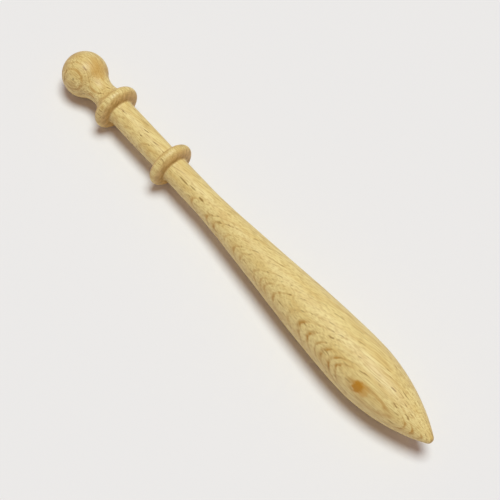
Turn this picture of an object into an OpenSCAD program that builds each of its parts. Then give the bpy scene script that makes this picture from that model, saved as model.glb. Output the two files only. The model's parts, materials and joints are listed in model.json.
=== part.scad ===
// Turned wooden lace bobbin, lying on its side along X with its head towards -X.
//
// The bobbin is turned from one blank.  Its sections between the turner's cuts are separate
// solids that meet face to face on flat discs: the ball of the head, the hitch neck behind it,
// two collars with the spool neck between them, and the long shank with its belly and point.
//
// Stations are distances along the axis from the top of the head.  The X axis is the axis of
// the turning, and the origin is on it at the middle of the length.

/* [Overall] */
// Length from the top of the head to the tip
overall_length = 120; // [112:1:128]

/* [Head] */
// Diameter of the ball of the head
head_d = 10.6; // [10:0.1:11.4]
// Diameter of the hitch neck at its narrowest
hitch_neck_d = 5.8; // [5:0.1:6.4]
// Radius of the hollow between the ball and the upper collar
hitch_hollow_r = 5.3; // [5:0.1:6]

/* [Collars] */
// Station of the rim of the upper collar
upper_collar_at = 16.7; // [16.3:0.1:17]
// Diameter of the upper collar
upper_collar_d = 11.3; // [10:0.1:12.5]
// Station of the rim of the lower collar
lower_collar_at = 36.1; // [30:0.1:40]
// Diameter of the lower collar
lower_collar_d = 11.2; // [10:0.1:12.5]
// Thickness of each collar at its foot
collar_thickness = 3.1; // [2.6:0.1:3.8]
// Roundness of the collars' rims: 1 is an ellipse, and less is squarer
collar_roundness = 0.85; // [0.6:0.05:1]

/* [Spool neck] */
// Diameter of the spool neck at the upper collar
spool_neck_top_d = 6.1; // [5:0.1:7]
// Diameter of the spool neck at the lower collar
spool_neck_foot_d = 6; // [5:0.1:7]

/* [Shank] */
// Diameter of the slim top of the shank
shank_top_d = 6.1; // [5:0.1:7]
// Length of the straight stretch under the lower collar
shank_straight = 8.2; // [2:0.1:12]
// Distance from the tip back to the widest part of the belly
belly_to_tip = 21.6; // [18:0.1:26]
// Diameter of the belly
belly_d = 13.2; // [11:0.1:15]
// Pull on the taper's curve at its slim end
taper_slim_pull = 12; // [6:0.5:18]
// Pull on the taper's curve at the belly
taper_belly_pull = 14.7; // [8:0.1:20]
// Radius of the blunt end of the point
nose_r = 1.15; // [0.9:0.05:1.8]
// Diameter of the flat that the parting cut leaves on the tip
parting_flat_d = 0.8; // [0.4:0.1:1.2]

/* [Hidden] */

$fn = 96;
rim_steps = 24;
taper_steps = 36;
point_steps = 24;
nose_steps = 6;

pale_beech = [0.86, 0.77, 0.55];
warm_beech = [0.82, 0.70, 0.46];
end_grain_beech = [0.72, 0.56, 0.36];

head_r = head_d / 2;
hitch_neck_r = hitch_neck_d / 2;
upper_collar_r = upper_collar_d / 2;
spool_neck_top_r = spool_neck_top_d / 2;
spool_neck_foot_r = spool_neck_foot_d / 2;
lower_collar_r = lower_collar_d / 2;
shank_top_r = shank_top_d / 2;
belly_r = belly_d / 2;
parting_flat_r = parting_flat_d / 2;
collar_half = collar_thickness / 2;

// The hollow's circle touches the ball's circle, so its station follows from both radii.
hollow_centre_r = hitch_neck_r + hitch_hollow_r;
ball_to_hollow = sqrt(pow(head_r + hitch_hollow_r, 2) - pow(hollow_centre_r, 2));
hitch_neck_at = head_r + ball_to_hollow;
ball_end = head_r + ball_to_hollow * head_r / (head_r + hitch_hollow_r);
ball_end_r = hollow_centre_r * head_r / (head_r + hitch_hollow_r);

// The hollow flares out a little where it runs into the upper collar.
upper_collar_start = upper_collar_at - collar_half;
hollow_end_r = hollow_centre_r
    - sqrt(pow(hitch_hollow_r, 2) - pow(upper_collar_start - hitch_neck_at, 2));

spool_neck_start = upper_collar_at + collar_half;
spool_neck_end = lower_collar_at - collar_half;
shank_start = lower_collar_at + collar_half;
taper_start = shank_start + shank_straight;
belly_at = overall_length - belly_to_tip;

// The point is one large arc that touches the belly and the round of the nose.
nose_centre = overall_length - sqrt(pow(nose_r, 2) - pow(parting_flat_r, 2));
belly_to_nose = nose_centre - belly_at;
point_r = (pow(belly_to_nose, 2) + pow(belly_r, 2) - pow(nose_r, 2)) / (2 * (belly_r - nose_r));
point_angle = asin(belly_to_nose / (point_r - nose_r));
parting_angle = asin(parting_flat_r / nose_r);

// Points [station, radius] along an arc about a centre, from one angle to another
function arc(centre, r, from_angle, to_angle, steps) =
    [for (i = [0 : steps])
        let (a = from_angle + (to_angle - from_angle) * i / steps)
        centre + r * [cos(a), sin(a)]];

// Points [station, radius] along a curve whose two ends run parallel to the axis
function taper(p0, p1, pull0, pull1, steps) =
    [for (i = [0 : steps])
        let (t = i / steps, u = 1 - t)
        pow(u, 3) * p0
        + 3 * pow(u, 2) * t * (p0 + [pull0, 0])
        + 3 * u * pow(t, 2) * (p1 - [pull1, 0])
        + pow(t, 3) * p1];

// A list without its first point, for an outline that goes on from the point before it
function after_first(points) = [for (i = [1 : len(points) - 1]) points[i]];

// Points [station, radius] over the rim of a collar, between feet of two radii
function rim(at, crest_r, start_r, end_r) =
    [for (i = [0 : rim_steps])
        let (
            a = 180 * i / rim_steps,
            along = (1 - cos(a)) / 2,
            foot_r = start_r + (end_r - start_r) * along
        )
        [at - collar_half * cos(a), foot_r + (crest_r - foot_r) * pow(sin(a), collar_roundness)]];

// Puts a shape that stands on Z, with stations upwards, where it lies on the bobbin
module lay_down() {
    translate([-overall_length / 2, 0, 0])
        rotate([0, 90, 0])
            children();
}

// Solid turned from an outline of [station, radius] points and closed by flat ends
module turned(outline) {
    first = outline[0][0];
    last = outline[len(outline) - 1][0];
    closed = concat([[first, 0]], outline, [[last, 0]]);
    lay_down()
        rotate_extrude()
            polygon([for (p = closed) [p[1], p[0]]]);
}

// Ball of the head, cut flat where the hollow of the hitch neck begins
module head() {
    color(pale_beech)
        lay_down()
            difference() {
                translate([0, 0, head_r])
                    sphere(r = head_r);
                translate([-head_r, -head_r, ball_end])
                    cube(head_d);
            }
}

// Hollow waist that takes the thread's half hitch
module hitch_neck() {
    color(warm_beech)
        lay_down()
            rotate_extrude()
                difference() {
                    translate([0, ball_end])
                        square([max(ball_end_r, hollow_end_r), upper_collar_start - ball_end]);
                    translate([hollow_centre_r, hitch_neck_at])
                        circle(r = hitch_hollow_r);
                }
}

// Collar that keeps the wound thread from the head
module upper_collar() {
    color(end_grain_beech)
        turned(rim(upper_collar_at, upper_collar_r, hollow_end_r, spool_neck_top_r));
}

// Straight neck that the thread is wound on
module spool_neck() {
    color(pale_beech)
        turned([[spool_neck_start, spool_neck_top_r], [spool_neck_end, spool_neck_foot_r]]);
}

// Collar that keeps the wound thread from the shank
module lower_collar() {
    color(end_grain_beech)
        turned(rim(lower_collar_at, lower_collar_r, spool_neck_foot_r, shank_top_r));
}

// Handle: slim at the lower collar, swelling to the belly, then drawn in to a blunt point
module shank() {
    slim_end = [taper_start, shank_top_r];
    belly = [belly_at, belly_r];
    swell = taper(slim_end, belly, taper_slim_pull, taper_belly_pull, taper_steps);
    point = arc(belly - [0, point_r], point_r, 90, 90 - point_angle, point_steps);
    nose = arc([nose_centre, 0], nose_r, 90 - point_angle, parting_angle, nose_steps);
    color(warm_beech)
        turned(concat([[shank_start, shank_top_r]], swell, after_first(point), after_first(nose)));
}

head();
hitch_neck();
upper_collar();
spool_neck();
lower_collar();
shank();
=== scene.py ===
"""A turned beech lace bobbin, lying on a pale floor under soft studio light."""

import json
import logging
import math
from collections.abc import Callable
from dataclasses import dataclass, field
from enum import Enum

import bmesh
import bpy
from mathutils import Matrix, Vector


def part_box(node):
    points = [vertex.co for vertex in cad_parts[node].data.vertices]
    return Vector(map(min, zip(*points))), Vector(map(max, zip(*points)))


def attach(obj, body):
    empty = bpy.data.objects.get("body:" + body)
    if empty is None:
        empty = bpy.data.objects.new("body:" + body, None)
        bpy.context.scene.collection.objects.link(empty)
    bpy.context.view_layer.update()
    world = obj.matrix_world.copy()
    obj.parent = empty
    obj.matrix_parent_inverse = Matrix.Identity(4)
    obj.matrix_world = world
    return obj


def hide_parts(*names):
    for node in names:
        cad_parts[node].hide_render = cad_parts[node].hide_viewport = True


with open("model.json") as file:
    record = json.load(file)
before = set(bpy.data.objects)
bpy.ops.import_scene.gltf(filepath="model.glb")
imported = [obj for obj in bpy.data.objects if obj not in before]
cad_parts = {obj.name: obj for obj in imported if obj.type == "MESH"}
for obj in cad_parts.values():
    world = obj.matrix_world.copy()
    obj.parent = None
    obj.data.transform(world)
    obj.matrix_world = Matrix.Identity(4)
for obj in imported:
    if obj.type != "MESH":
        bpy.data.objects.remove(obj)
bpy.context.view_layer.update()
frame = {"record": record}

log = logging.getLogger("lace_bobbin")

MM = 0.001
BODY = "root"

FACES_ROUND = 160  # the same on every piece, so that the rims of neighbours meet
OUTLINE_PITCH = 0.2 * MM
WELD_DISTANCE = 0.0002 * MM
SHARP_ANGLE = math.radians(38.0)
CORNER_R = 0.45 * MM  # round that the skew chisel leaves at the foot of a collar
LEAST_STEPS = 2  # of a straight or curved run
LEAST_ARC_STEPS = 4
RIM_FINENESS = 1.6  # more steps over a collar's rim, for the tight turns at its feet

Colour = tuple[float, float, float]
Socket = bpy.types.NodeSocket
Value = Socket | float | Vector | Colour
Path = Callable[[float], tuple[float, float]]


def colour(red: int, green: int, blue: int) -> Colour:
    """Turns a colour as a screen shows it, from 0 to 255, into light.

    Args:
        red: Red share.
        green: Green share.
        blue: Blue share.

    Returns:
        The linear colour.
    """
    shares = (share / 255 for share in (red, green, blue))
    return tuple(s / 12.92 if s <= 0.04045 else ((s + 0.055) / 1.055) ** 2.4 for s in shares)


# ------------------------------------------------------------------------------ shapes


@dataclass(frozen=True)
class Section:
    """The stretch of the bobbin that one CAD node fills."""

    node: str
    start: float
    end: float
    radius: float

    @classmethod
    def of(cls, node: str) -> "Section":
        """Reads a section from the frame.

        Args:
            node: Name of the CAD node.

        Returns:
            The stretch between the node's ends, with its largest radius.
        """
        low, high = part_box(node)
        return cls(node, low.x, high.x, (high.y - low.y) / 2)

    @property
    def middle(self) -> float:
        """Returns the station halfway along."""
        return (self.start + self.end) / 2

    @property
    def length(self) -> float:
        """Returns the length along the axis."""
        return self.end - self.start


@dataclass(frozen=True)
class Grip:
    """A mount of the record that a thread goes round: where it is and how thick."""

    station: float
    radius: float

    @classmethod
    def of(cls, name: str) -> "Grip":
        """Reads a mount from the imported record.

        Args:
            name: Name of the mount.

        Returns:
            Its station along the axis and its radius.
        """
        mount = next(m for m in frame["record"]["mounts"] if m["name"] == name)
        return cls(mount["pos_m"][0], mount["dims"]["r_mm"] * MM)


@dataclass(frozen=True)
class Stray:
    """A wave along the bobbin, where the turner's hand strays from the true radius."""

    pace: float
    start: float
    reach: float

    def at(self, x: float) -> float:
        """Returns how far the hand strays at station x."""
        return math.sin(x / self.pace + self.start) * self.reach


STRAYS = (Stray(2.9 * MM, 0.7, 0.014 * MM), Stray(1.13 * MM, 2.1, 0.006 * MM))
STRAY_RISE = 1.0 * MM  # distance from the axis over which the strays build up


class Outline:
    """Half of a lengthwise cut through a piece, drawn above the axis and spun about it."""

    def __init__(self, x: float) -> None:
        """Starts on the axis at station x."""
        self.mesh = bmesh.new()
        self.last = self.mesh.verts.new((x, 0.0, 0.0))

    def step(self, x: float, radius: float) -> "Outline":
        """Adds one point.

        Args:
            x: Station of the point.
            radius: Its distance from the axis.

        Returns:
            The outline.
        """
        point = self.mesh.verts.new((x, 0.0, radius))
        self.mesh.edges.new((self.last, point))
        self.last = point
        return self

    def follow(self, path: Path, length: float) -> "Outline":
        """Adds a run of points along a curve.

        Args:
            path: Gives the station and radius for each share from 0 to 1.
            length: About how long the curve is.

        Returns:
            The outline.
        """
        steps = max(LEAST_STEPS, math.ceil(length / OUTLINE_PITCH))
        for count in range(1, steps + 1):
            self.step(*path(count / steps))
        return self

    def line(self, x: float, radius: float) -> "Outline":
        """Adds a straight run to a point.

        Args:
            x: Station of the point.
            radius: Its distance from the axis.

        Returns:
            The outline.
        """
        here, there = Vector((self.last.co.x, self.last.co.z)), Vector((x, radius))
        return self.follow(lambda share: tuple(here.lerp(there, share)), (there - here).length)

    def arc(self, x: float, radius: float, turn: float) -> "Outline":
        """Swings the last point about a centre.

        Args:
            x: Station of the centre.
            radius: Distance of the centre from the axis.
            turn: Angle in radians, positive where the top of the circle moves to the tip.

        Returns:
            The outline.
        """
        reach = math.hypot(self.last.co.x - x, self.last.co.z - radius)
        swung = bmesh.ops.spin(
            self.mesh,
            geom=[self.last],
            cent=(x, 0.0, radius),
            axis=(0.0, 1.0, 0.0),
            angle=turn,
            steps=max(LEAST_ARC_STEPS, math.ceil(abs(turn) * reach / OUTLINE_PITCH)),
            use_duplicate=False,
        )
        self.last = next(v for v in swung["geom_last"] if isinstance(v, bmesh.types.BMVert))
        return self

    def turned(self, name: str) -> bpy.types.Object:
        """Closes the outline on the axis and turns it into a solid.

        Args:
            name: Name of the new piece.

        Returns:
            The piece, at the origin, with its place in its mesh.
        """
        mesh = self.mesh
        self.step(self.last.co.x, 0.0)
        for vert in mesh.verts:
            strayed = sum(stray.at(vert.co.x) for stray in STRAYS)
            vert.co.z += strayed * min(1.0, vert.co.z / STRAY_RISE)
        bmesh.ops.spin(
            mesh,
            geom=mesh.verts[:] + mesh.edges[:],
            cent=(0.0, 0.0, 0.0),
            axis=(1.0, 0.0, 0.0),
            angle=math.tau,
            steps=FACES_ROUND,
            use_merge=True,
            use_duplicate=False,
        )
        bmesh.ops.remove_doubles(mesh, verts=mesh.verts, dist=WELD_DISTANCE)
        bmesh.ops.dissolve_degenerate(mesh, edges=mesh.edges, dist=WELD_DISTANCE)
        bmesh.ops.recalc_face_normals(mesh, faces=mesh.faces)
        return finished(mesh, name)


def finished(mesh: bmesh.types.BMesh, name: str) -> bpy.types.Object:
    """Makes an object with smooth faces and sharp corners.

    Args:
        mesh: The shape, which is freed.
        name: Name of the object.

    Returns:
        The new object, linked to the scene.
    """
    for face in mesh.faces:
        face.smooth = True
    for edge in mesh.edges:
        edge.smooth = edge.calc_face_angle(0.0) < SHARP_ANGLE
    data = bpy.data.meshes.new(name)
    mesh.to_mesh(data)
    mesh.free()
    piece = bpy.data.objects.new(name, data)
    bpy.context.scene.collection.objects.link(piece)
    return piece


# ------------------------------------------------------------------- node groups


class Kind(Enum):
    """What a group's socket carries."""

    VALUE = "NodeSocketFloat"
    VECTOR = "NodeSocketVector"


class Graph:
    """Adds nodes to a node tree and joins them."""

    def __init__(self, tree: bpy.types.NodeTree) -> None:
        """Takes the tree to work in."""
        self.tree = tree

    def add(self, kind: str, **settings: object) -> bpy.types.Node:
        """Adds a node.

        Args:
            kind: Blender's name for the type of node.
            settings: Values of the node's own properties.

        Returns:
            The new node.
        """
        node = self.tree.nodes.new(kind)
        for name, value in settings.items():
            setattr(node, name, value)
        return node

    def feed(self, socket: Socket, value: Value) -> None:
        """Joins a socket to another one, or gives it a plain value.

        Args:
            socket: The input to feed.
            value: An output, a number, a vector or a colour.
        """
        if isinstance(value, bpy.types.NodeSocket):
            self.tree.links.new(value, socket)
        elif socket.type == "RGBA":
            socket.default_value = (*value, 1.0)
        else:
            socket.default_value = value

    def math(self, operation: str, *values: Value, clamp: bool = False) -> Socket:
        """Does one sum.

        Args:
            operation: Blender's name for the sum.
            values: What goes into it.
            clamp: Whether the result stays between 0 and 1.

        Returns:
            The result.
        """
        node = self.add("ShaderNodeMath", operation=operation, use_clamp=clamp)
        for socket, value in zip(node.inputs, values):
            self.feed(socket, value)
        return node.outputs[0]

    def vector(self, operation: str, *values: Value) -> Socket:
        """Does one sum on vectors.

        Args:
            operation: Blender's name for the sum.
            values: What goes into it.

        Returns:
            The result, which is a plain value for a dot product or a length.
        """
        node = self.add("ShaderNodeVectorMath", operation=operation)
        for socket, value in zip(node.inputs, values):
            self.feed(socket, value)
        return node.outputs["Value" if operation in ("DOT_PRODUCT", "LENGTH") else "Vector"]

    def fade(self, value: Value, start: Value, end: Value) -> Socket:
        """Makes a mask that rises softly from 0 to 1.

        Args:
            value: What the mask follows.
            start: Where the mask is 0.
            end: Where it is 1, which may be below start.

        Returns:
            The mask.
        """
        node = self.add("ShaderNodeMapRange", interpolation_type="SMOOTHSTEP")
        for name, given in (("Value", value), ("From Min", start), ("From Max", end)):
            self.feed(node.inputs[name], given)
        return node.outputs["Result"]

    def noise(self, place: Value, grain: tuple[float, float, float], detail: float = 2.0) -> Socket:
        """Adds a cloudy noise.

        Args:
            place: Where on the surface, in millimetres.
            grain: About how long a cloud is in each direction, in millimetres.
            detail: How many finer clouds lie in the big ones.

        Returns:
            The noise, about 0.5 on average.
        """
        node = self.add("ShaderNodeTexNoise")
        self.feed(node.inputs["Vector"], self.vector("DIVIDE", place, Vector(grain)))
        node.inputs["Scale"].default_value = 1.0
        node.inputs["Detail"].default_value = detail
        return node.outputs["Fac"]

    def mix(self, share: Value, first: Value, second: Value, blend: str = "MIX") -> Socket:
        """Mixes two colours.

        Args:
            share: How much of the second colour, from 0 to 1.
            first: The colour underneath.
            second: The colour on top.
            blend: Blender's name for the way of mixing.

        Returns:
            The mixed colour.
        """
        node = self.add("ShaderNodeMix", data_type="RGBA", blend_type=blend)
        sockets = {socket.identifier: socket for socket in node.inputs}
        self.feed(sockets["Factor_Float"], share)
        self.feed(sockets["A_Color"], first)
        self.feed(sockets["B_Color"], second)
        return next(socket for socket in node.outputs if socket.identifier == "Result_Color")


@dataclass(frozen=True)
class Effect:
    """A shared look that is built once as a node group and placed wherever it is wanted."""

    name: str
    inputs: dict[str, Kind]
    outputs: dict[str, Kind]
    draw: Callable[[Graph, dict[str, Socket]], dict[str, Socket]]

    def tree(self) -> bpy.types.NodeTree:
        """Builds the effect's node group the first time, and finds it again after that.

        Returns:
            The node group.
        """
        if self.name in bpy.data.node_groups:
            return bpy.data.node_groups[self.name]
        tree = bpy.data.node_groups.new(self.name, "ShaderNodeTree")
        for name, kind in self.inputs.items():
            tree.interface.new_socket(name, in_out="INPUT", socket_type=kind.value)
        for name, kind in self.outputs.items():
            tree.interface.new_socket(name, in_out="OUTPUT", socket_type=kind.value)
        graph = Graph(tree)
        way_in = graph.add("NodeGroupInput")
        way_out = graph.add("NodeGroupOutput")
        results = self.draw(graph, {name: way_in.outputs[name] for name in self.inputs})
        for name, result in results.items():
            graph.feed(way_out.inputs[name], result)
        return tree

    def place(self, graph: Graph, **values: Value) -> dict[str, Socket]:
        """Places the effect in a tree.

        Args:
            graph: The tree to place it in.
            values: A value or a link for each of its inputs.

        Returns:
            Its outputs by name.
        """
        node = graph.add("ShaderNodeGroup", node_tree=self.tree(), label=self.name)
        for name, value in values.items():
            graph.feed(node.inputs[name], value)
        return {name: node.outputs[name] for name in self.outputs}


# ------------------------------------------------------------------- the blank's grain

LAYER_NORMAL = Vector((0.174, -0.847, 0.502)).normalized()  # square to the growth layers
RAY_EDGE = LAYER_NORMAL.cross(Vector((1.0, 0.0, 0.0))).normalized()  # along a layer, across the axis
FIBRE = RAY_EDGE.cross(LAYER_NORMAL).normalized()  # along the wood's fibres


BOW = 0.01  # how far the layers bow, for each square millimetre across
WAVE_SIZE = (14.0, 3.0, 3.0)  # slow waves in the layers, in millimetres
WAVE_REACH = 0.5
JAG_SIZE = (2.2, 0.5, 0.5)  # small jags in the layers, in millimetres
JAG_REACH = 0.22
NOISE_MIDDLE = 0.5


@dataclass(frozen=True)
class GrowthLine:
    """The dark end of one year's growth, at a depth in millimetres across the layers."""

    depth: float
    strength: float
    sharp: float = 0.1  # how fast it ends on the side of the next year
    soft: float = 0.24  # how slowly it builds up


@dataclass(frozen=True)
class Cloud:
    """A cloudy noise in the grain, cut to a mask that is 0 at start and 1 at end."""

    size: tuple[float, float, float]  # along the fibres, along a layer and across the layers
    detail: float
    start: float
    end: float

    def mask(self, graph: Graph, grain: Socket) -> Socket:
        """Returns the mask, from a place in the grain, in millimetres."""
        return graph.fade(graph.noise(grain, self.size, self.detail), self.start, self.end)


WHOLE_LINES = Cloud((2.6, 1.0, 0.8), 3.0, 0.36, 0.6)
BROKEN_SHARE = 0.6  # how far a line fades where it is broken
DASHES = Cloud((3.0, 0.6, 0.5), 1.0, 0.55, 0.64)
DASH_START, DASH_FULL = 0.25, 0.75  # strengths of a line between which it breaks into dashes
FINE_STREAKS = Cloud((3.4, 0.17, 0.17), 1.0, 0.44, 0.68)
WIDE_STREAKS = Cloud((7.0, 0.5, 0.4), 2.0, 0.45, 0.75)
WIDE_STREAK_SHARE = 0.3
PATCHES = Cloud((18.0, 1.6, 1.2), 2.0, 0.35, 0.8)
MOTTLE = Cloud((6.0, 1.7, 0.6), 2.0, 0.42, 0.62)
RAY_HEIGHT = 1.6  # a ray's height, for each millimetre of its length
RAY_RIM, RAY_CORE = 0.5, 0.18  # distances from a ray's middle where it starts and is full
FLAT_START, FLAT_FULL = 0.885, 0.97  # of a cut along the layers
END_START, END_FULL = 0.25, 1.0  # of a cut across the fibres
RAGGED_SIZE = (1.1, 0.5, 0.5)  # of the bites in a spot's edge, in millimetres
RAGGED_SHARE = 0.9
SPOT_RIM, SPOT_CORE = 1.5, 0.95
RING_SIZE, RING_DETAIL, RING_SHARE = (0.35, 1.0, 1.0), 4.0, 0.4
PORE_SIZE, PORE_DETAIL, PORE_SHARE = (1.4, 0.09, 0.09), 2.0, 0.6

YEARS_SPAN = 14.9  # millimetres after which the run of years comes again
YEARS = (
    GrowthLine(0.7, 0.7),
    GrowthLine(1.8, 0.8),
    GrowthLine(2.35, 1.0, soft=0.32),
    GrowthLine(3.4, 0.5),
    GrowthLine(4.3, 0.8),
    GrowthLine(4.95, 0.6),
    GrowthLine(6.2, 0.7),
    GrowthLine(6.75, 0.7, sharp=0.08, soft=0.16),
    GrowthLine(7.2, 0.8),
    GrowthLine(7.95, 0.9),
    GrowthLine(9.3, 0.7),
    GrowthLine(10.2, 1.0, soft=0.34),
    GrowthLine(10.9, 1.0, soft=0.28),
    GrowthLine(11.45, 0.7, sharp=0.08, soft=0.16),
    GrowthLine(11.9, 0.9),
    GrowthLine(12.45, 1.0, sharp=0.08, soft=0.2),
    GrowthLine(12.85, 0.9, sharp=0.08, soft=0.16),
    GrowthLine(13.6, 0.6),
)


def draw_grain_space(graph: Graph, given: dict[str, Socket]) -> dict[str, Socket]:
    """Turns a place on the piece into a place in the blank's grain.

    Args:
        graph: The group's tree.
        given: Point, in metres.

    Returns:
        Grain (along the fibres, along a layer, across the layers), Place and Station, all in
        millimetres.
    """
    point = graph.vector("DIVIDE", given["Point"], Vector((MM, MM, MM)))
    along = graph.vector("DOT_PRODUCT", point, FIBRE)
    edge = graph.vector("DOT_PRODUCT", point, RAY_EDGE)
    flat = graph.vector("DOT_PRODUCT", point, LAYER_NORMAL)
    bow = graph.math("MULTIPLY", graph.math("MULTIPLY", edge, edge), BOW)
    waves = graph.math("SUBTRACT", graph.noise(point, WAVE_SIZE), NOISE_MIDDLE)
    jags = graph.math("SUBTRACT", graph.noise(point, JAG_SIZE), NOISE_MIDDLE)
    slow = graph.math("MULTIPLY", waves, WAVE_REACH)
    uneven = graph.math("MULTIPLY_ADD", jags, JAG_REACH, slow)
    depth = graph.math("ADD", graph.math("ADD", flat, bow), uneven)
    join = graph.add("ShaderNodeCombineXYZ")
    for socket, value in zip(join.inputs, (along, edge, depth)):
        graph.feed(socket, value)
    split = graph.add("ShaderNodeSeparateXYZ")
    graph.feed(split.inputs[0], point)
    return {"Grain": join.outputs[0], "Place": point, "Station": split.outputs["X"]}


def draw_growth_line(graph: Graph, given: dict[str, Socket]) -> dict[str, Socket]:
    """Draws one year's dark line.

    Args:
        graph: The group's tree.
        given: Depth, At, Sharp, Soft and Strength.

    Returns:
        Mask, which is Strength on the line.
    """
    past = graph.math("SUBTRACT", given["Depth"], given["At"])
    after = graph.math("DIVIDE", past, given["Sharp"])
    before = graph.math("DIVIDE", graph.math("MULTIPLY", past, -1.0), given["Soft"])
    away = graph.math("MAXIMUM", after, before)
    return {"Mask": graph.math("MULTIPLY", graph.fade(away, 1.0, 0.0), given["Strength"])}


GRAIN_SPACE = Effect(
    "grain_space",
    {"Point": Kind.VECTOR},
    {"Grain": Kind.VECTOR, "Place": Kind.VECTOR, "Station": Kind.VALUE},
    draw_grain_space,
)
GROWTH_LINE = Effect(
    "growth_line",
    dict.fromkeys(("Depth", "At", "Sharp", "Soft", "Strength"), Kind.VALUE),
    {"Mask": Kind.VALUE},
    draw_growth_line,
)


def draw_growth_years(graph: Graph, given: dict[str, Socket]) -> dict[str, Socket]:
    """Draws all the years, whole where they are bold and broken into dashes where they fade.

    Args:
        graph: The group's tree.
        given: Grain.

    Returns:
        Lines, the soft mask, and Dashes, the darkest broken parts of it.
    """
    split = graph.add("ShaderNodeSeparateXYZ")
    graph.feed(split.inputs[0], given["Grain"])
    depth = graph.math("FLOORED_MODULO", split.outputs["Z"], YEARS_SPAN)
    lines: Value = 0.0
    for year in YEARS:
        line = GROWTH_LINE.place(
            graph, Depth=depth, At=year.depth, Sharp=year.sharp, Soft=year.soft, Strength=year.strength
        )
        lines = graph.math("MAXIMUM", lines, line["Mask"])
    whole = WHOLE_LINES.mask(graph, given["Grain"])
    dashes = DASHES.mask(graph, given["Grain"])
    bold = graph.math("MULTIPLY_ADD", whole, BROKEN_SHARE, 1.0 - BROKEN_SHARE)
    dark = graph.fade(lines, DASH_START, DASH_FULL)
    return {
        "Lines": graph.math("MULTIPLY", lines, bold),
        "Dashes": graph.math("MULTIPLY", dark, dashes),
    }


def draw_ray_flecks(graph: Graph, given: dict[str, Socket]) -> dict[str, Socket]:
    """Draws the rays, thin upright sheets that show as short dashes on a flat-cut face.

    Args:
        graph: The group's tree.
        given: Grain, the Length and Thickness of a fleck in millimetres, and the Share shown.

    Returns:
        Mask.
    """
    size = graph.add("ShaderNodeCombineXYZ")
    graph.feed(size.inputs["X"], given["Length"])
    graph.feed(size.inputs["Y"], given["Thickness"])
    graph.feed(size.inputs["Z"], graph.math("MULTIPLY", given["Length"], RAY_HEIGHT))
    cells = graph.add("ShaderNodeTexVoronoi", feature="F1")
    graph.feed(cells.inputs["Vector"], graph.vector("DIVIDE", given["Grain"], size.outputs[0]))
    cells.inputs["Scale"].default_value = 1.0
    chance = graph.add("ShaderNodeSeparateColor")
    graph.feed(chance.inputs[0], cells.outputs["Color"])
    rarest = graph.math("SUBTRACT", 1.0, given["Share"])
    shown = graph.fade(chance.outputs[0], rarest, 1.0)
    core = graph.fade(cells.outputs["Distance"], RAY_RIM, RAY_CORE)
    return {"Mask": graph.math("MULTIPLY", core, shown)}


def draw_fibres(graph: Graph, given: dict[str, Socket]) -> dict[str, Socket]:
    """Draws the fine streaks of fibres and pores.

    Args:
        graph: The group's tree.
        given: Grain.

    Returns:
        Streaks, dark fine lines, Patches, broad clouds, and Mottle, blotches that show on end
        grain, all from 0 to 1.
    """
    fine = FINE_STREAKS.mask(graph, given["Grain"])
    wide = WIDE_STREAKS.mask(graph, given["Grain"])
    broad = PATCHES.mask(graph, given["Grain"])
    mottle = MOTTLE.mask(graph, given["Grain"])
    return {
        "Streaks": graph.math("MULTIPLY_ADD", wide, WIDE_STREAK_SHARE, fine, clamp=True),
        "Patches": broad,
        "Mottle": mottle,
    }


def draw_cut(graph: Graph, given: dict[str, Socket]) -> dict[str, Socket]:
    """Finds how the surface cuts the wood.

    Args:
        graph: The group's tree.
        given: Facing, the direction that the surface faces.

    Returns:
        Flat, where it runs nearly along the layers, and End, where it crosses the fibres.
    """
    flat = graph.math("ABSOLUTE", graph.vector("DOT_PRODUCT", given["Facing"], LAYER_NORMAL))
    end = graph.math("ABSOLUTE", graph.vector("DOT_PRODUCT", given["Facing"], FIBRE))
    return {
        "Flat": graph.fade(flat, FLAT_START, FLAT_FULL),
        "End": graph.fade(end, END_START, END_FULL),
    }


def draw_foot_shade(graph: Graph, given: dict[str, Socket]) -> dict[str, Socket]:
    """Finds a corner between two pieces, for the painted shade that falls there and the wax and dust that
    gather there.

    Args:
        graph: The group's tree.
        given: Station, the station At which the corner is, and its Reach, in millimetres.

    Returns:
        Mask.
    """
    away = graph.math("ABSOLUTE", graph.math("SUBTRACT", given["Station"], given["At"]))
    return {"Mask": graph.fade(away, given["Reach"], 0.0)}


def draw_spot(graph: Graph, given: dict[str, Socket]) -> dict[str, Socket]:
    """Draws one stain or pith fleck with a ragged edge.

    Args:
        graph: The group's tree.
        given: Place, the spot's Centre and its Reach each way, in millimetres.

    Returns:
        Mask.
    """
    away = graph.vector("SUBTRACT", given["Place"], given["Centre"])
    share = graph.vector("LENGTH", graph.vector("DIVIDE", away, given["Reach"]))
    bites = graph.noise(given["Place"], RAGGED_SIZE)
    ragged = graph.math("MULTIPLY_ADD", bites, RAGGED_SHARE, share)
    return {"Mask": graph.fade(ragged, SPOT_RIM, SPOT_CORE)}


def draw_tool_marks(graph: Graph, given: dict[str, Socket]) -> dict[str, Socket]:
    """Draws the faint rings that the chisel and the sandpaper leave round the work.

    Args:
        graph: The group's tree.
        given: Station, in millimetres, and Grain.

    Returns:
        Height, from 0 to 1.
    """
    place = graph.add("ShaderNodeCombineXYZ")
    graph.feed(place.inputs["X"], given["Station"])
    rings = graph.noise(place.outputs[0], RING_SIZE, RING_DETAIL)
    pores = graph.noise(given["Grain"], PORE_SIZE, PORE_DETAIL)
    low = graph.math("MULTIPLY", rings, RING_SHARE)
    return {"Height": graph.math("MULTIPLY_ADD", pores, PORE_SHARE, low)}


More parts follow.
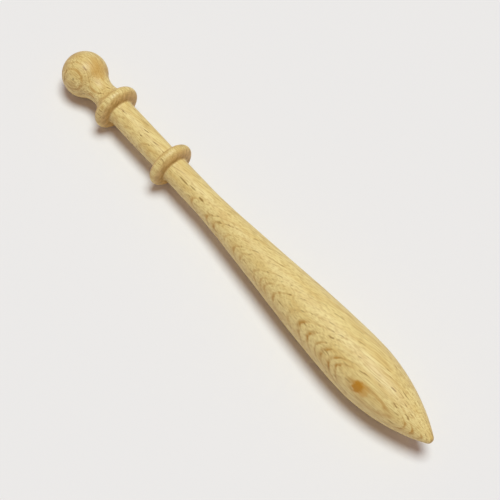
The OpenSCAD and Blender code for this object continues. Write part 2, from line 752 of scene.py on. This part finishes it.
GROWTH_YEARS = Effect(
    "growth_years", {"Grain": Kind.VECTOR}, {"Lines": Kind.VALUE, "Dashes": Kind.VALUE}, draw_growth_years
)
RAY_FLECKS = Effect(
    "ray_flecks",
    {"Grain": Kind.VECTOR, "Length": Kind.VALUE, "Thickness": Kind.VALUE, "Share": Kind.VALUE},
    {"Mask": Kind.VALUE},
    draw_ray_flecks,
)
FIBRES = Effect(
    "fibres",
    {"Grain": Kind.VECTOR},
    dict.fromkeys(("Streaks", "Patches", "Mottle"), Kind.VALUE),
    draw_fibres,
)
CUT = Effect("cut", {"Facing": Kind.VECTOR}, {"Flat": Kind.VALUE, "End": Kind.VALUE}, draw_cut)
# painted shade in the corners between pieces, with a little wax and dust
FOOT_SHADE = Effect(
    "foot_shade",
    dict.fromkeys(("Station", "At", "Reach"), Kind.VALUE),
    {"Mask": Kind.VALUE},
    draw_foot_shade,
)
SPOT = Effect(
    "spot", dict.fromkeys(("Place", "Centre", "Reach"), Kind.VECTOR), {"Mask": Kind.VALUE}, draw_spot
)
TOOL_MARKS = Effect(
    "tool_marks", {"Station": Kind.VALUE, "Grain": Kind.VECTOR}, {"Height": Kind.VALUE}, draw_tool_marks
)


# ------------------------------------------------------------------------------ finishes


@dataclass(frozen=True)
class Spot:
    """A stain in the wood: where it is and how far it reaches each way, in millimetres."""

    centre: tuple[float, float, float]
    reach: tuple[float, float, float]
    tint: Colour
    share: float = 0.8


@dataclass(frozen=True)
class TurnedBeech:
    """Pale beech, sanded and lightly waxed, with one blank's grain through every section."""

    name: str
    ground: Colour = colour(240, 219, 148)
    shade: Colour = colour(226, 197, 122)
    streak: Colour = colour(194, 158, 88)
    line: Colour = colour(184, 130, 38)
    dash: Colour = colour(146, 108, 44)
    ray: Colour = colour(160, 122, 54)
    end: Colour = colour(214, 172, 104)
    # foot: colour of the painted shade in the corners at the collars' feet, with a little wax and dust
    foot: Colour = colour(168, 128, 68)
    streak_share: float = 0.6
    line_share: float = 0.95
    dash_share: float = 0.7
    ray_share: float = 0.75
    end_share: float = 0.6
    # how strongly and how far the painted corner shade reaches
    painted_foot_shade_share: float = 0.15
    painted_foot_shade_reach: float = 0.3
    spots: tuple[Spot, ...] = ()
    end_quiet: float = 0.55  # how far the lines fade on end grain
    flank_share: float = 0.25  # how strongly the lines show where the cut is steep to the layers
    flat_quiet: float = 0.85  # how far the dashes fade where the cut is flat
    small_ray_share: float = 0.35
    roughness: float = 0.46
    streak_roughness: float = 0.1  # what the streaks add to it
    bump: float = 0.12
    bump_depth: float = 0.05 * MM

    def material(self, *corners: float) -> bpy.types.Material:
        """Builds the material for one piece.

        Args:
            corners: Stations of the corners that it shares with its neighbours.

        Returns:
            The material.
        """
        made = bpy.data.materials.new(self.name)
        made.use_nodes = True
        made.node_tree.nodes.clear()
        graph = Graph(made.node_tree)
        place = graph.add("ShaderNodeTexCoord")
        blank = GRAIN_SPACE.place(graph, Point=place.outputs["Object"])
        fibres = FIBRES.place(graph, Grain=blank["Grain"])
        years = GROWTH_YEARS.place(graph, Grain=blank["Grain"])
        cut = CUT.place(graph, Facing=place.outputs["Normal"])
        big = RAY_FLECKS.place(graph, Grain=blank["Grain"], Length=2.4, Thickness=0.36, Share=0.3)
        small = RAY_FLECKS.place(graph, Grain=blank["Grain"], Length=1.1, Thickness=0.2, Share=0.6)
        # painted shade in the corners that the piece shares with its neighbours, with a little wax and
        # dust
        foot: Value = 0.0
        for corner in corners:
            shade = FOOT_SHADE.place(
                graph, Station=blank["Station"], At=corner / MM, Reach=self.painted_foot_shade_reach
            )
            foot = graph.math("MAXIMUM", foot, shade["Mask"])

        wood = graph.mix(fibres["Patches"], self.ground, self.shade)
        wood = graph.mix(graph.math("MULTIPLY", cut["End"], self.end_share), wood, self.end)
        wood = graph.mix(graph.math("MULTIPLY", fibres["Mottle"], cut["End"]), wood, self.streak)
        streaks = graph.math("MULTIPLY", fibres["Streaks"], self.streak_share)
        wood = graph.mix(streaks, wood, self.streak)
        open_cut = graph.math("MULTIPLY_ADD", cut["Flat"], 1.0 - self.flank_share, self.flank_share)
        quiet_ends = graph.math("MULTIPLY_ADD", cut["End"], -self.end_quiet, 1.0)
        lines = graph.math("MULTIPLY", graph.math("MULTIPLY", years["Lines"], open_cut), quiet_ends)
        wood = graph.mix(graph.math("MULTIPLY", lines, self.line_share), wood, self.line)
        rays = graph.math(
            "MULTIPLY_ADD", small["Mask"], self.small_ray_share, big["Mask"], clamp=True
        )
        rays = graph.math("MULTIPLY", rays, open_cut)
        wood = graph.mix(graph.math("MULTIPLY", rays, self.ray_share), wood, self.ray)
        steep = graph.math("MULTIPLY_ADD", cut["Flat"], -self.flat_quiet, 1.0)
        dashes = graph.math("MULTIPLY", graph.math("MULTIPLY", years["Dashes"], steep), quiet_ends)
        wood = graph.mix(graph.math("MULTIPLY", dashes, self.dash_share), wood, self.dash)
        for spot in self.spots:
            stain = SPOT.place(
                graph, Place=blank["Place"], Centre=Vector(spot.centre), Reach=Vector(spot.reach)
            )
            wood = graph.mix(graph.math("MULTIPLY", stain["Mask"], spot.share), wood, spot.tint)
        # darkens the corners with painted shade, and a little wax and dust
        wood = graph.mix(graph.math("MULTIPLY", foot, self.painted_foot_shade_share), wood, self.foot)

        marks = TOOL_MARKS.place(graph, Station=blank["Station"], Grain=blank["Grain"])
        bump = graph.add("ShaderNodeBump")
        bump.inputs["Strength"].default_value = self.bump
        bump.inputs["Distance"].default_value = self.bump_depth
        graph.feed(bump.inputs["Height"], marks["Height"])

        surface = graph.add("ShaderNodeBsdfPrincipled")
        graph.feed(surface.inputs["Base Color"], wood)
        rough = graph.math(
            "MULTIPLY_ADD", fibres["Streaks"], self.streak_roughness, self.roughness
        )
        graph.feed(surface.inputs["Roughness"], rough)
        graph.feed(surface.inputs["Normal"], bump.outputs["Normal"])
        output = graph.add("ShaderNodeOutputMaterial")
        graph.feed(output.inputs["Surface"], surface.outputs["BSDF"])
        return made


@dataclass(frozen=True)
class PlainFinish:
    """A matt finish for the stage."""

    name: str
    tint: Colour
    roughness: float = 0.9

    def material(self) -> bpy.types.Material:
        """Builds a material of one colour.

        Returns:
            The material.
        """
        made = bpy.data.materials.new(self.name)
        made.use_nodes = True
        surface = made.node_tree.nodes["Principled BSDF"]
        surface.inputs["Base Color"].default_value = (*self.tint, 1.0)
        surface.inputs["Roughness"].default_value = self.roughness
        surface.inputs["Specular IOR Level"].default_value = 0.0
        return made


# ------------------------------------------------------------------------- sub-assemblies


def dress(
    piece: bpy.types.Object, section: Section, finish: TurnedBeech, *corners: float
) -> bpy.types.Object:
    """Gives a turned piece its finish and its place in the frame.

    Args:
        piece: The piece.
        section: The section that it stands for.
        finish: Its finish.
        corners: Stations of its corners with the collars or necks beside it.

    Returns:
        The piece.
    """
    piece.data.materials.append(finish.material(*corners))
    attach(piece, BODY)
    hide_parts(section.node)
    log.info("%s: %d faces, stands for %s", piece.name, len(piece.data.polygons), section.node)
    return piece


@dataclass
class Head:
    """The ball and the hollow neck behind it, which takes the thread's half hitch."""

    ball: Section = field(default_factory=lambda: Section.of("head"))
    hollow: Section = field(default_factory=lambda: Section.of("hitch_neck"))
    waist: Grip = field(default_factory=lambda: Grip.of("hitch_hollow"))

    @property
    def ball_foot_r(self) -> float:
        """Returns the radius of the ball's cut face."""
        return math.sqrt(self.ball.radius**2 - (self.ball.length - self.ball.radius) ** 2)

    @property
    def hollow_r(self) -> float:
        """The circle that the hollow follows.

        Returns:
            Its radius, from the waist and the ball's foot.
        """
        rise = self.ball_foot_r - self.waist.radius
        run = self.waist.station - self.hollow.start
        return (rise**2 + run**2) / (2 * rise)

    @property
    def collar_foot_r(self) -> float:
        """Returns the radius at which the hollow meets the upper collar."""
        run = self.hollow.end - self.waist.station
        return self.waist.radius + self.hollow_r - math.sqrt(self.hollow_r**2 - run**2)

    def build_ball(self) -> bpy.types.Object:
        """Swings the ball from the top of the head to its foot.

        Returns:
            The piece.
        """
        centre = self.ball.start + self.ball.radius
        turn = math.pi - math.atan2(self.ball_foot_r, self.ball.end - centre)
        return Outline(self.ball.start).arc(centre, 0.0, turn).turned("turned_ball")

    def build_hollow(self) -> bpy.types.Object:
        """Swings the hollow neck from the ball's foot to the upper collar.

        Returns:
            The piece.
        """
        centre_r = self.waist.radius + self.hollow_r
        start = math.asin((self.waist.station - self.hollow.start) / self.hollow_r)
        end = math.asin((self.hollow.end - self.waist.station) / self.hollow_r)
        outline = Outline(self.hollow.start).step(self.hollow.start, self.ball_foot_r)
        outline.arc(self.waist.station, centre_r, -(start + end))
        return outline.turned("turned_hitch_hollow")

    def dress_all(self, finish: TurnedBeech) -> list[bpy.types.Object]:
        """Builds and dresses both pieces.

        Args:
            finish: Finish of both.

        Returns:
            The pieces, from the head to the tip.
        """
        return [
            dress(self.build_ball(), self.ball, finish),
            dress(self.build_hollow(), self.hollow, finish, self.hollow.end),
        ]


@dataclass
class ThreadNeck:
    """The neck that the thread is wound on, between its two collars."""

    head_foot_r: float
    shank_foot_r: float
    upper: Section = field(default_factory=lambda: Section.of("upper_collar"))
    neck: Section = field(default_factory=lambda: Section.of("spool_neck"))
    lower: Section = field(default_factory=lambda: Section.of("lower_collar"))
    grip: Grip = field(default_factory=lambda: Grip.of("thread_neck"))
    rim_roundness: float = 0.85  # 1 is an ellipse, and less is squarer

    def build_collar(self, collar: Section, start_r: float, end_r: float) -> bpy.types.Object:
        """Turns a collar.

        Args:
            collar: Its section.
            start_r: Radius at its foot on the head's side.
            end_r: Radius at its foot on the tip's side.

        Returns:
            The piece.
        """

        def rim(share: float) -> tuple[float, float]:
            """Follows the rim from foot to foot.

            Args:
                share: Share of the way, from 0 to 1.

            Returns:
                The station and radius.
            """
            turn = math.pi * share
            foot = start_r + (end_r - start_r) * (1 - math.cos(turn)) / 2
            rise = max(0.0, math.sin(turn)) ** self.rim_roundness
            x = collar.middle - collar.length / 2 * math.cos(turn)
            return x, foot + (collar.radius - foot) * rise

        outline = Outline(collar.start).step(collar.start, start_r)
        around = collar.length + 2 * (collar.radius - min(start_r, end_r))
        outline.follow(rim, around * RIM_FINENESS)
        return outline.turned(f"turned_{collar.node}")

    def build_neck(self) -> bpy.types.Object:
        """Turns the neck, with a small round in the corner at each collar.

        Returns:
            The piece.
        """
        start_r, end_r = self.neck.radius, self.grip.radius
        quarter = math.pi / 2
        outline = Outline(self.neck.start).step(self.neck.start, start_r + CORNER_R)
        outline.arc(self.neck.start + CORNER_R, start_r + CORNER_R, -quarter)
        outline.line(self.neck.end - CORNER_R, end_r)
        outline.arc(self.neck.end - CORNER_R, end_r + CORNER_R, -quarter)
        return outline.turned("turned_spool_neck")

    def dress_all(self, finish: TurnedBeech, collars: TurnedBeech) -> list[bpy.types.Object]:
        """Builds and dresses the three pieces.

        Args:
            finish: Finish of the neck.
            collars: Finish of the collars.

        Returns:
            The pieces, from the head to the tip.
        """
        upper = self.build_collar(self.upper, self.head_foot_r, self.neck.radius)
        lower = self.build_collar(self.lower, self.grip.radius, self.shank_foot_r)
        return [
            dress(upper, self.upper, collars, self.upper.start, self.upper.end),
            dress(self.build_neck(), self.neck, finish, self.neck.start, self.neck.end),
            dress(lower, self.lower, collars, self.lower.start, self.lower.end),
        ]


@dataclass
class Shank:
    """The handle: slim under the lower collar, swelling to a belly, then drawn in to a point."""

    body: Section = field(default_factory=lambda: Section.of("shank"))
    slim_r: float = 3.05 * MM
    straight: float = 8.2 * MM
    belly_to_tip: float = 21.6 * MM
    slim_pull: float = 12.0 * MM
    belly_pull: float = 14.7 * MM
    nose_r: float = 1.15 * MM
    flat_r: float = 0.4 * MM

    @property
    def belly(self) -> float:
        """Returns the station of the widest part."""
        return self.body.end - self.belly_to_tip

    def swell(self, share: float) -> tuple[float, float]:
        """Follows the curve from the slim end to the belly.

        Args:
            share: Share of the way, from 0 to 1.

        Returns:
            The station and radius.
        """
        start = Vector((self.body.start + self.straight, self.slim_r))
        end = Vector((self.belly, self.body.radius))
        rest = 1 - share
        slim_handle = start + Vector((self.slim_pull, 0.0))
        belly_handle = end - Vector((self.belly_pull, 0.0))
        return tuple(
            start * rest**3
            + slim_handle * 3 * rest**2 * share
            + belly_handle * 3 * rest * share**2
            + end * share**3
        )

    def build(self) -> bpy.types.Object:
        """Turns the shank, with its point an arc that touches the belly and the nose.

        Returns:
            The piece.
        """
        nose = self.body.end - math.sqrt(self.nose_r**2 - self.flat_r**2)
        run, belly_r = nose - self.belly, self.body.radius
        point_r = (run**2 + belly_r**2 - self.nose_r**2) / (2 * (belly_r - self.nose_r))
        lean = math.asin(run / (point_r - self.nose_r))
        flat_lean = math.acos(self.flat_r / self.nose_r)

        outline = Outline(self.body.start).step(self.body.start, self.slim_r + CORNER_R)
        outline.arc(self.body.start + CORNER_R, self.slim_r + CORNER_R, -math.pi / 2)
        outline.line(self.body.start + self.straight, self.slim_r)
        outline.follow(self.swell, self.belly - self.body.start - self.straight)
        outline.arc(self.belly, belly_r - point_r, lean)
        outline.arc(nose, 0.0, flat_lean - lean)
        return outline.turned("turned_shank")

    def dress_all(self, finish: TurnedBeech) -> list[bpy.types.Object]:
        """Builds and dresses the shank, and returns it alone in a list."""
        return [dress(self.build(), self.body, finish, self.body.start)]


# ------------------------------------------------------------------------------ the stage


@dataclass
class Floor:
    """The plain floor, touching the belly and the rim of the upper collar."""

    belly: float
    shank: Section
    collar: Section
    half_width: float = 2.5
    finish: PlainFinish = PlainFinish("floor_paper", colour(237, 235, 232))

    def build(self) -> bpy.types.Object:
        """Lays the floor, sloping a little because the belly is thicker than the collar.

        Returns:
            The floor.
        """
        slope = (self.shank.radius - self.collar.radius) / (self.belly - self.collar.middle)
        mesh = bmesh.new()
        bmesh.ops.create_grid(mesh, x_segments=2, y_segments=2, size=self.half_width)
        for vert in mesh.verts:
            vert.co.z = -self.shank.radius - slope * (vert.co.x - self.belly)
        floor = finished(mesh, "floor")
        floor.data.materials.append(self.finish.material())
        return floor


@dataclass
class StudioLight:
    """One broad soft light overhead, as even as a large skylight, and a pale room all round."""

    spread: float = math.radians(28.0)
    lean: float = math.radians(3.8)  # away from overhead, towards +Y
    strength: float = 2.52
    light_tint: Colour = (0.88, 0.98, 1.0)
    room: float = 0.28
    room_tint: Colour = (1.0, 0.72, 0.72)
    backdrop: Colour = colour(235, 234, 231)

    def hang_lamp(self) -> bpy.types.Object:
        """Hangs the light, facing almost straight down.

        Returns:
            The light.
        """
        data = bpy.data.lights.new("skylight", "SUN")
        data.angle = self.spread
        data.energy = self.strength
        data.color = self.light_tint
        lamp = bpy.data.objects.new("skylight", data)
        lamp.rotation_euler = (-self.lean, 0.0, 0.0)
        bpy.context.scene.collection.objects.link(lamp)
        return lamp

    def light_room(self) -> bpy.types.World:
        """Makes the room, which the camera sees as a plain backdrop.

        Returns:
            The scene's world.
        """
        world = bpy.data.worlds.new("room")
        world.use_nodes = True
        world.node_tree.nodes.clear()
        graph = Graph(world.node_tree)
        rays = graph.add("ShaderNodeLightPath")
        fill = graph.add("ShaderNodeBackground")
        fill.inputs["Strength"].default_value = self.room
        graph.feed(fill.inputs["Color"], self.room_tint)
        seen = graph.add("ShaderNodeBackground")
        graph.feed(seen.inputs["Color"], self.backdrop)
        choice = graph.add("ShaderNodeMixShader")
        graph.feed(choice.inputs[0], rays.outputs["Is Camera Ray"])
        graph.feed(choice.inputs[1], fill.outputs[0])
        graph.feed(choice.inputs[2], seen.outputs[0])
        output = graph.add("ShaderNodeOutputWorld")
        graph.feed(output.inputs["Surface"], choice.outputs[0])
        bpy.context.scene.world = world
        return world


@dataclass
class Viewpoint:
    """Where the camera stands: azimuth 0 looks along +Y, 90 along -X, and roll leans it to the left."""

    azimuth: float = 40.31
    elevation: float = 59.27
    roll: float = 10.59
    aim: Vector = field(default_factory=lambda: Vector((3.39, -0.15, 0.0)) * MM)
    distance: float = 319.65 * MM
    lens: float = 107.2
    sensor: float = 36.0

    def set_camera(self) -> bpy.types.Object:
        """Sets up the camera, aimed and rolled.

        Returns:
            The scene's camera.
        """
        azimuth, elevation = math.radians(self.azimuth), math.radians(self.elevation)
        level = math.cos(elevation)
        back = Vector((math.sin(azimuth) * level, -math.cos(azimuth) * level, math.sin(elevation)))
        data = bpy.data.cameras.new("camera")
        data.lens, data.sensor_width = self.lens, self.sensor
        camera = bpy.data.objects.new("camera", data)
        turn = (-back).to_track_quat("-Z", "Y").to_matrix() @ Matrix.Rotation(
            math.radians(self.roll), 3, "Z"
        )
        camera.matrix_world = Matrix.LocRotScale(self.aim + back * self.distance, turn, None)
        bpy.context.scene.collection.objects.link(camera)
        bpy.context.scene.camera = camera
        return camera


def main() -> None:
    """Builds the stage and the bobbin."""
    logging.basicConfig(level=logging.INFO, format="%(name)s: %(message)s")
    bpy.context.scene.view_settings.view_transform = "Standard"
    Viewpoint().set_camera()
    light = StudioLight()
    light.hang_lamp()
    light.light_room()

    amber, honey = colour(192, 132, 16), colour(210, 162, 74)
    pith, fleck = colour(130, 100, 50), colour(150, 114, 42)
    neck = TurnedBeech("beech_neck", line_share=0.35, dash_share=0.9)
    handle = TurnedBeech(
        "beech_handle",
        spots=(
            Spot((43.3, -5.1, 3.6), (2.5, 1.8, 2.0), honey, share=0.7),
            Spot((42.5, -5.3, 3.6), (1.6, 1.5, 1.6), amber, share=0.95),
            Spot((-17.6, -1.5, 2.6), (1.9, 0.2, 0.24), fleck),
            Spot((-14.9, -1.2, 2.8), (1.3, 0.2, 0.24), fleck, share=0.7),
            Spot((-11.6, -1.6, 2.7), (1.0, 0.3, 0.3), fleck, share=0.9),
        ),
    )
    round_cut = TurnedBeech(
        "beech_head",
        streak_share=0.8,
        end_quiet=0.75,
        flank_share=0.7,
        spots=(
            Spot((-51.5, 1.6, 4.5), (4.0, 3.0, 2.6), honey, share=0.5),
            Spot((-53.5, -4.3, 2.9), (0.35, 0.35, 0.35), pith, share=0.5),
            Spot((-50.4, -2.4, 1.9), (0.5, 0.45, 0.45), pith, share=0.75),
        ),
    )
    collars = TurnedBeech(
        "beech_collars", end=colour(216, 172, 100), end_share=0.8, line_share=0.5, flank_share=0.6
    )
    head, shank = Head(), Shank()
    thread_neck = ThreadNeck(head.collar_foot_r, shank.slim_r)
    Floor(shank.belly, shank.body, thread_neck.upper).build()
    pieces = head.dress_all(round_cut)
    pieces += thread_neck.dress_all(neck, collars)
    pieces += shank.dress_all(handle)
    log.info("%d pieces", len(pieces))


if __name__ == "__main__":
    main()
